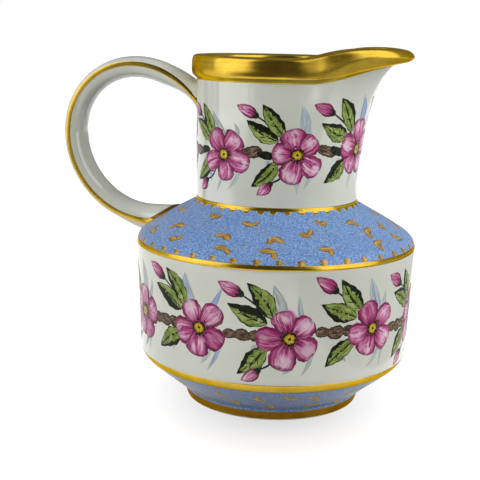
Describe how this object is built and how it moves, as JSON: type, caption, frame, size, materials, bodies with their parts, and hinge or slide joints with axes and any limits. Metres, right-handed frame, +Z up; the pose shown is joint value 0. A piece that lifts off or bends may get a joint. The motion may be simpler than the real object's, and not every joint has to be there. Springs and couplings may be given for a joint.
{
  "type": "creamer",
  "caption": "Small porcelain creamer with a straight belly, sloped shoulder, upright neck, pulled spout and a ring handle, gilded and painted.",
  "frame": {"origin": "under the middle of the box, on the table that the foot ring stands on", "axes": "+Z up, +X from the handle to the spout, +Y across"},
  "size_m": [0.1056, 0.0816, 0.103],
  "materials": {
    "porcelain": "clear glossy glaze over white",
    "gilding": "burnished gold",
    "blue_ground": "stippled enamel"
  },
  "bodies": {
    "root": {"vessel_body": "porcelain", "handle": "porcelain", "handle_lute_upper": "porcelain", "handle_lute_lower": "porcelain", "handle_gold_front": "gilding", "handle_gold_back": "gilding", "rim_gilding": "gilding", "neck_gold_line": "gilding", "shoulder_blue_ground": "blue_ground", "shoulder_gold_line": "gilding", "belly_gold_line": "gilding", "base_blue_ground": "blue_ground", "foot_gilding": "gilding"}
  },
  "joints": []
}
